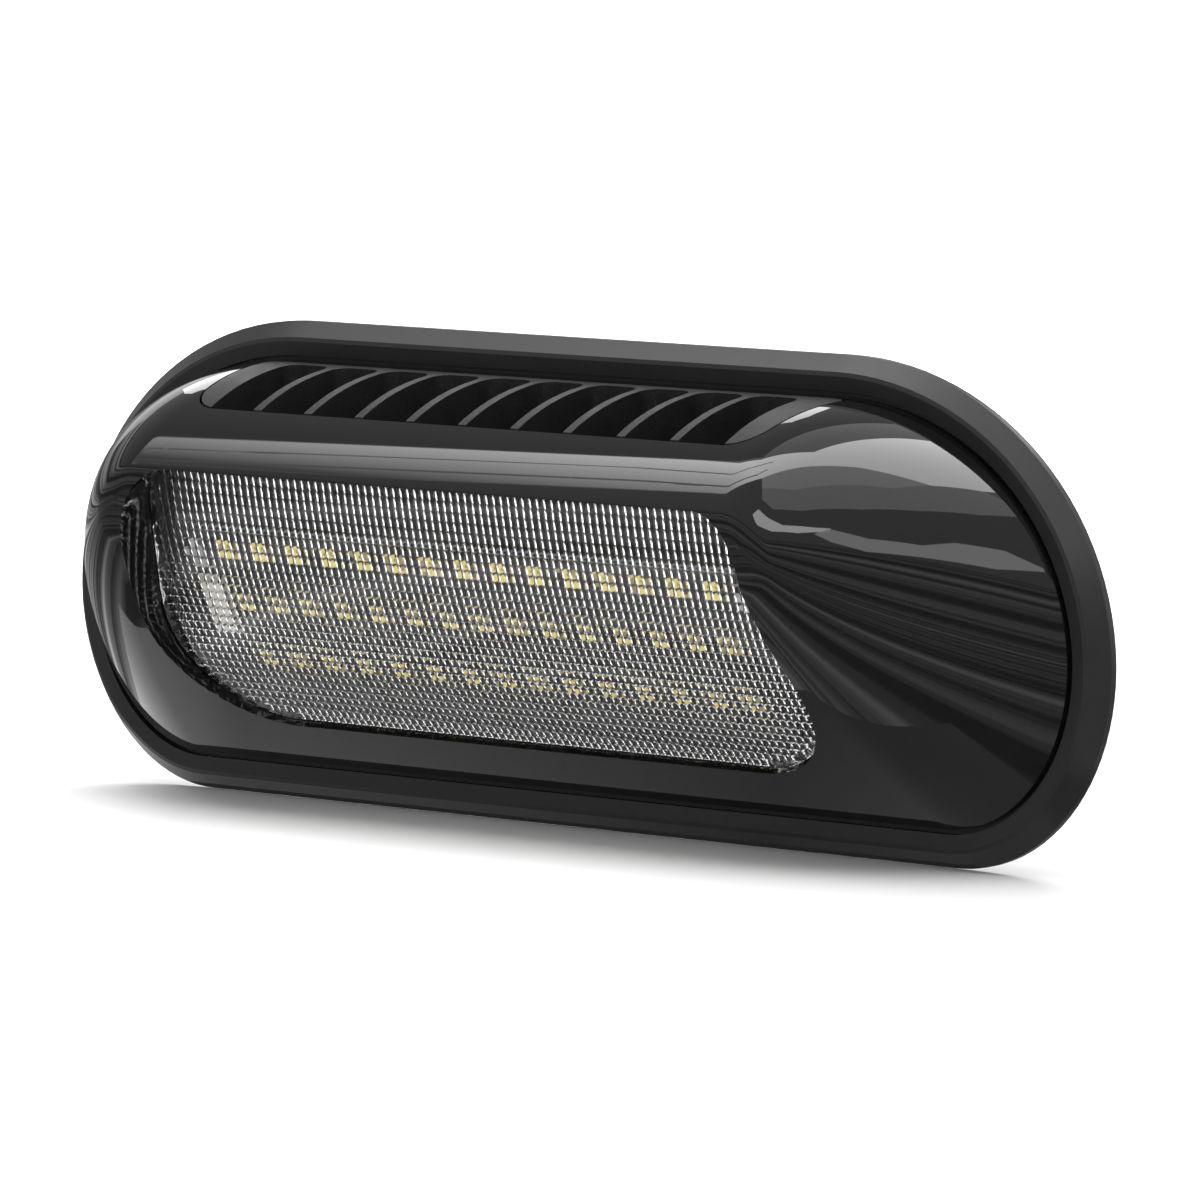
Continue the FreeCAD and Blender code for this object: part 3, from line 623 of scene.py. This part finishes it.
# Surroundings that show in the gloss, in metres, with turns in degrees; the curtain is low behind the lamp
DRAPE_RADIUS = 1.9
DRAPE_HIGH = 1.0
DRAPE_LOW = 0.22
DRAPE_LOW_TURN = -115
DRAPE_TURNS = (-170, 110)
DRAPE_STEPS = 90
# Painted fold shading on the flat curtain and cloth: their glow rises and falls in bands
DRAPE_BANDS = 1.3
DRAPE_PAINTED_FOLD_SCALE = 5.0
DRAPE_PAINTED_FOLD_DETAIL = 3.0
DRAPE_PAINTED_FOLD_RANGE = (0.42, 0.72)
DRAPE_GLOW = (0.1, 1.0)
CLOTH_LIFT = 0.001
CLOTH_OPENING = ((-0.12, -0.03), (0.1, 0.06))
# Painted reflection of the floor under the lamp: glow levels along X, with the lamp's shadow painted dimmer
# in the middle
PAINTED_FLOOR_REFLECTION = (
    (-0.12, 1.25), (-0.095, 0.9), (-0.075, 0.42), (-0.02, 0.3), (0.04, 0.17), (0.075, 0.25), (0.1, 0.36))
LAMP_LEFT = -1.1
LAMP_RIGHT = -0.35
SEEN_IN_GLASS = 1.0

# Cards over the lamp: name, height, level at the left and at the right, and corners in plan
CARDS = (
    ("lamp_upper", 0.91, (0.7, 6.0), [
        (-1.25, -0.55), (-0.85, -0.08), (-0.70, 0.09), (-0.41, 0.07), (-0.28, 0.12), (-0.25, 0.04),
        (-0.38, -0.01), (-0.715, -0.065), (-0.88, -0.25), (-1.27, -0.70)]),
    ("lamp_middle", 0.91, (0.7, 6.0), [
        (-1.28, -0.72), (-0.885, -0.27), (-0.72, -0.08), (-0.375, -0.02), (-0.245, 0.03), (-0.22, -0.04),
        (-0.29, -0.12), (-0.735, -0.245), (-0.925, -0.44), (-1.32, -0.87)]),
    ("lamp_lower", 0.91, (0.7, 6.0), [
        (-1.33, -0.89), (-0.935, -0.47), (-0.74, -0.27), (-0.285, -0.135), (-0.22, -0.06), (-0.2, -0.17),
        (-0.745, -0.375), (-1.0, -0.63), (-1.36, -1.0)]),
    ("lamp_end", 0.91, (6.0, 6.0), [
        (-0.28, 0.12), (-0.10, 0.18), (-0.12, 0.60), (-0.12, 1.15), (0.10, 1.2), (0.30, 0.75),
        (0.42, 0.35), (0.42, 0.20), (0.20, 0.13), (0.0, 0.0), (-0.2, -0.17)]),
    ("glow_near", 0.91, (2.2, 2.2), [
        (-0.2, -0.17), (0.0, 0.0), (0.2, 0.13), (0.42, 0.2), (0.45, 0.05), (0.36, -0.05), (0.2, -0.25),
        (-0.1, -0.3)]),
    ("glow_far", 0.92, (1.6, 1.6), [
        (-0.1, -0.3), (0.2, -0.25), (0.36, -0.05), (0.45, 0.05), (0.42, 0.2), (0.42, 0.35), (0.6, 0.38),
        (0.7, 0.15), (0.72, -0.05), (0.68, -0.25), (0.5, -0.5), (0.25, -0.58), (0.0, -0.45)]),
    ("front_lamp", 0.91, (5.5, 5.5), [
        (0.05, -0.62), (0.3, -0.76), (0.6, -0.87), (0.85, -0.74), (0.93, -0.66), (1.0, -0.75), (0.9, -1.0),
        (0.6, -1.15), (0.2, -1.0), (0.0, -0.75)]),
    ("side_lamp", 0.91, (2.8, 2.8), [
        (1.15, -0.05), (1.38, -0.03), (1.6, -0.3), (1.6, -0.95), (1.3, -1.0), (1.0, -0.9), (0.94, -0.68),
        (1.2, -0.62), (1.28, -0.4), (1.15, -0.2)]),
    ("back_lamp", 0.91, (3.2, 3.2), [
        (-0.74, 0.72), (-0.76, 0.86), (-0.92, 1.14), (-1.36, 1.8), (-2.9, 2.9), (-2.9, 2.2), (-1.75, 1.1),
        (-1.38, 0.8)]),
    ("surround", 0.93, (0.3, 0.3), [
        (-1.9, -1.2), (-1.25, -0.5), (-0.85, -0.05), (-0.7, 0.12), (-0.42, 0.1), (-0.4, 1.0), (-0.7, 2.0),
        (-1.2, 2.4), (-2.2, 1.2), (-2.2, -0.3)]),
    ("surround_front", 0.94, (0.5, 0.5), [
        (-1.4, -1.05), (-0.75, -0.37), (-0.2, -0.16), (0.0, -0.1), (0.5, 0.1), (0.6, 0.4), (1.1, 0.6),
        (2.5, 0.3), (2.5, -2.0), (0.0, -2.5), (-2.5, -2.0)]),
)

# Soft boxes: name, place, what it points at, length, width and radiance
SOFT_BOXES = (
    ("top_box", (0.3, -0.2, 0.91), (0.3, -0.2, 0), 2.4, 0.43, 4.3),
    ("back_box", (-0.59, 0.73, 1.0), (0, 0, 0), 1.2, 0.6, 6.0),
    ("front_fill", (-0.3, -1.6, 0.25), (0, 0, 0), 1.6, 0.8, 1.6),
)


def make_camera():
    """The camera at the photograph's viewing angle and framing."""
    data = bpy.data.cameras.new("camera")
    data.sensor_width = SENSOR_WIDTH
    data.lens = FOCAL_PIXELS * SENSOR_WIDTH / PHOTO_SIDE
    data.shift_x = 0.5 - PRINCIPAL_POINT[0] / PHOTO_SIDE
    data.shift_y = PRINCIPAL_POINT[1] / PHOTO_SIDE - 0.5
    data.clip_start = CLIP_START
    camera = bpy.data.objects.new("camera", data)
    level = math.cos(CAMERA_ELEVATION)
    camera.location = CAMERA_DISTANCE * Vector((
        math.sin(CAMERA_AZIMUTH) * level, -math.cos(CAMERA_AZIMUTH) * level, math.sin(CAMERA_ELEVATION)))
    camera.rotation_euler = (-camera.location).to_track_quat("-Z", "Y").to_euler()
    bpy.context.scene.collection.objects.link(camera)
    bpy.context.scene.camera = camera


def seen_rays(tree):
    """One for camera, glossy and transmission rays, nought for the light that falls on things."""
    path = tree.nodes.new("ShaderNodeLightPath")
    total = path.outputs["Is Camera Ray"]
    for name in ("Is Glossy Ray", "Is Transmission Ray"):
        larger = tree.nodes.new("ShaderNodeMath")
        larger.operation = "MAXIMUM"
        link(tree, total, larger.inputs[0])
        link(tree, path.outputs[name], larger.inputs[1])
        total = larger.outputs["Value"]
    return total


def make_world():
    """A white surrounding that lights the lamp at a lower level than it is seen."""
    world = bpy.data.worlds.new("studio")
    bpy.context.scene.world = world
    world.use_nodes = True
    tree = world.node_tree
    shine = tree.nodes["Background"]
    shine.inputs["Color"].default_value = (1, 1, 1, 1)
    level = tree.nodes.new("ShaderNodeMapRange")
    level.inputs["To Min"].default_value = WORLD_LIGHT
    level.inputs["To Max"].default_value = 1.0
    link(tree, seen_rays(tree), level.inputs["Value"])
    link(tree, level.outputs["Result"], shine.inputs["Strength"])


def make_floor():
    """A pale floor that keeps the lamp's shadow and goes over into the white surrounding."""
    side = FLOOR_HALF / MM
    corners = [(-side, -side, 0), (side, -side, 0), (side, side, 0), (-side, side, 0)]
    floor = new_piece("floor", corners, [(0, 1, 2, 3)], Matrix.Translation((0, 0, FLOOR_LEVEL / MM)))
    material = bpy.data.materials.new("floor_white")
    material.use_nodes = True
    tree = material.node_tree
    shader = tree.nodes["Principled BSDF"]
    shader.inputs["Base Color"].default_value = (*grey(FLOOR_WHITE), 1)
    shader.inputs["Roughness"].default_value = FLOOR_ROUGHNESS
    shader.inputs["Specular IOR Level"].default_value = 0.0
    shader.inputs["Emission Color"].default_value = (1, 1, 1, 1)
    coords = tree.nodes.new("ShaderNodeTexCoord")
    reach = tree.nodes.new("ShaderNodeVectorMath")
    reach.operation = "LENGTH"
    far = tree.nodes.new("ShaderNodeMapRange")
    far.interpolation_type = "SMOOTHSTEP"
    far.inputs["From Min"].default_value = FLOOR_FADE[0]
    far.inputs["From Max"].default_value = FLOOR_FADE[1]
    glow = tree.nodes.new("ShaderNodeMath")
    glow.operation = "MULTIPLY"
    link(tree, coords.outputs["Object"], reach.inputs[0])
    link(tree, reach.outputs["Value"], far.inputs["Value"])
    link(tree, far.outputs["Result"], glow.inputs[0])
    link(tree, seen_rays(tree), glow.inputs[1])
    link(tree, glow.outputs["Value"], shader.inputs["Emission Strength"])
    floor.data.materials.append(material)


def glossy_card(name, verts, faces, material, in_glass=False):
    """A piece of the studio that shows only in gloss and, if bright, in the glass."""
    card = new_piece(name, verts, faces)
    card.data.materials.append(material)
    card.visible_camera = False
    card.visible_diffuse = False
    card.visible_shadow = False
    card.visible_transmission = in_glass


def glow_material(name):
    """A black material that glows by what is linked to the strength socket that comes with it."""
    material = bpy.data.materials.new(name)
    material.use_nodes = True
    shader = material.node_tree.nodes["Principled BSDF"]
    shader.inputs["Base Color"].default_value = (0, 0, 0, 1)
    shader.inputs["Specular IOR Level"].default_value = 0.0
    shader.inputs["Emission Color"].default_value = (1, 1, 1, 1)
    return material, shader.inputs["Emission Strength"]


def make_drape():
    """A dark curtain round the studio and a dark cloth on the floor round the lamp, both flat and seen only
    in gloss, with painted fold shading: glow in level bands up the curtain and in rings on the cloth.
    """
    material, strength = glow_material("drape_dark")
    tree = material.node_tree
    coords = tree.nodes.new("ShaderNodeTexCoord")
    parts = tree.nodes.new("ShaderNodeSeparateXYZ")
    level = tree.nodes.new("ShaderNodeVectorMath")
    level.operation = "MULTIPLY"
    level.inputs[1].default_value = (1.0, 1.0, 0.0)
    reach = tree.nodes.new("ShaderNodeVectorMath")
    reach.operation = "LENGTH"
    spread = tree.nodes.new("ShaderNodeMath")
    spread.operation = "LOGARITHM"
    spread.inputs[1].default_value = math.e
    both = tree.nodes.new("ShaderNodeMath")
    both.operation = "MULTIPLY_ADD"
    both.inputs[1].default_value = DRAPE_BANDS
    # painted fold shading: brighter and darker bands of glow on a flat curtain and cloth
    painted_fold_shade = tree.nodes.new("ShaderNodeTexNoise")
    painted_fold_shade.noise_dimensions = "1D"
    painted_fold_shade.inputs["Scale"].default_value = DRAPE_PAINTED_FOLD_SCALE
    painted_fold_shade.inputs["Detail"].default_value = DRAPE_PAINTED_FOLD_DETAIL
    shade = tree.nodes.new("ShaderNodeMapRange")
    shade.inputs["From Min"].default_value = DRAPE_PAINTED_FOLD_RANGE[0]
    shade.inputs["From Max"].default_value = DRAPE_PAINTED_FOLD_RANGE[1]
    shade.inputs["To Min"].default_value = DRAPE_GLOW[0]
    shade.inputs["To Max"].default_value = DRAPE_GLOW[1]
    link(tree, coords.outputs["Object"], parts.inputs["Vector"])
    link(tree, coords.outputs["Object"], level.inputs[0])
    link(tree, level.outputs["Vector"], reach.inputs[0])
    link(tree, reach.outputs["Value"], spread.inputs[0])
    link(tree, parts.outputs["Z"], both.inputs[0])
    link(tree, spread.outputs["Value"], both.inputs[2])
    link(tree, both.outputs["Value"], painted_fold_shade.inputs["W"])
    link(tree, painted_fold_shade.outputs["Fac"], shade.inputs["Value"])
    link(tree, shade.outputs["Result"], strength)

    radius = DRAPE_RADIUS / MM
    low = FLOOR_LEVEL / MM
    first, last = DRAPE_TURNS
    verts = []
    for k in range(DRAPE_STEPS + 1):
        turn = first + (last - first) * k / DRAPE_STEPS
        high = (DRAPE_LOW if turn < DRAPE_LOW_TURN else DRAPE_HIGH) / MM
        x, y = radius * math.sin(math.radians(turn)), -radius * math.cos(math.radians(turn))
        verts += [(x, y, low), (x, y, high)]
    panels = [(2 * k, 2 * k + 2, 2 * k + 3, 2 * k + 1) for k in range(DRAPE_STEPS)]
    glossy_card("drape", verts, panels, material)
    (left, front), (right, back) = CLOTH_OPENING
    top = (FLOOR_LEVEL + CLOTH_LIFT) / MM
    around = [(-radius, -radius), (radius, -radius), (radius, radius), (-radius, radius)]
    opening = [(x / MM, y / MM) for x, y in ((left, front), (right, front), (right, back), (left, back))]
    verts = [(x, y, top) for x, y in around + opening]
    strips = [(k, (k + 1) % 4, 4 + (k + 1) % 4, 4 + k) for k in range(4)]
    glossy_card("floor_cloth", verts, strips, material)
    # painted reflection of the shaded floor under the lamp, over the cloth's opening
    make_painted_floor_reflection([(x, y, top) for x, y in opening])


def make_painted_floor_reflection(verts):
    """A painted reflection of the floor under the lamp as the gloss sees it: a glow card with the lamp's
    shadow painted dimmer in the middle, brighter towards the ends.
    """
    material, strength = glow_material("painted_floor_reflection")
    tree = material.node_tree
    coords = tree.nodes.new("ShaderNodeTexCoord")
    parts = tree.nodes.new("ShaderNodeSeparateXYZ")
    share = tree.nodes.new("ShaderNodeMapRange")
    first, last = PAINTED_FLOOR_REFLECTION[0][0], PAINTED_FLOOR_REFLECTION[-1][0]
    share.inputs["From Min"].default_value = first
    share.inputs["From Max"].default_value = last
    ramp = tree.nodes.new("ShaderNodeValToRGB")
    stops = ramp.color_ramp.elements
    while len(stops) < len(PAINTED_FLOOR_REFLECTION):
        stops.new(0.5)
    for stop, (x, level) in zip(stops, PAINTED_FLOOR_REFLECTION):
        stop.position = (x - first) / (last - first)
        stop.color = (*grey(level), 1)
    link(tree, coords.outputs["Object"], parts.inputs["Vector"])
    link(tree, parts.outputs["X"], share.inputs["Value"])
    link(tree, share.outputs["Result"], ramp.inputs["Fac"])
    link(tree, ramp.outputs["Color"], strength)
    glossy_card("painted_floor_reflection", verts, [(0, 1, 2, 3)], material)


def make_cards():
    """The cards over the lamp: a bright lamp with two dark bars, smaller lamps, their glow and the surround.

    A card's level runs from its left value to its right one across the photograph's view, and only a card
    that is brighter than the white surrounding shows in the glass.
    """
    for name, height, (left, right), corners in CARDS:
        material, strength = glow_material(name)
        tree = material.node_tree
        coords = tree.nodes.new("ShaderNodeTexCoord")
        across = tree.nodes.new("ShaderNodeVectorMath")
        across.operation = "DOT_PRODUCT"
        across.inputs[1].default_value = (math.cos(CAMERA_AZIMUTH), math.sin(CAMERA_AZIMUTH), 0)
        level = tree.nodes.new("ShaderNodeMapRange")
        level.inputs["From Min"].default_value = LAMP_LEFT
        level.inputs["From Max"].default_value = LAMP_RIGHT
        level.inputs["To Min"].default_value = left
        level.inputs["To Max"].default_value = right
        link(tree, coords.outputs["Object"], across.inputs[0])
        link(tree, across.outputs["Value"], level.inputs["Value"])
        link(tree, level.outputs["Result"], strength)
        verts = [(x / MM, y / MM, height / MM) for x, y in corners]
        glossy_card(name, verts, [tuple(range(len(verts)))], material, in_glass=right > SEEN_IN_GLASS)


def make_light(name, place, target, long, wide, radiance):
    """A soft box of an even radiance that lights the lamp without showing in it."""
    data = bpy.data.lights.new(name, "AREA")
    data.shape = "RECTANGLE"
    data.size = long
    data.size_y = wide
    data.energy = radiance * math.pi * long * wide
    light = bpy.data.objects.new(name, data)
    light.location = place
    light.rotation_euler = (Vector(target) - Vector(place)).to_track_quat("-Z", "Y").to_euler()
    light.visible_camera = False
    light.visible_glossy = False
    bpy.context.scene.collection.objects.link(light)


make_finishes()
finish_solids()
make_hood()
make_lens()
make_phosphor()
make_camera()
make_world()
make_floor()
make_drape()
make_cards()
for soft_box in SOFT_BOXES:
    make_light(*soft_box)
bpy.context.scene.view_settings.view_transform = "Standard"
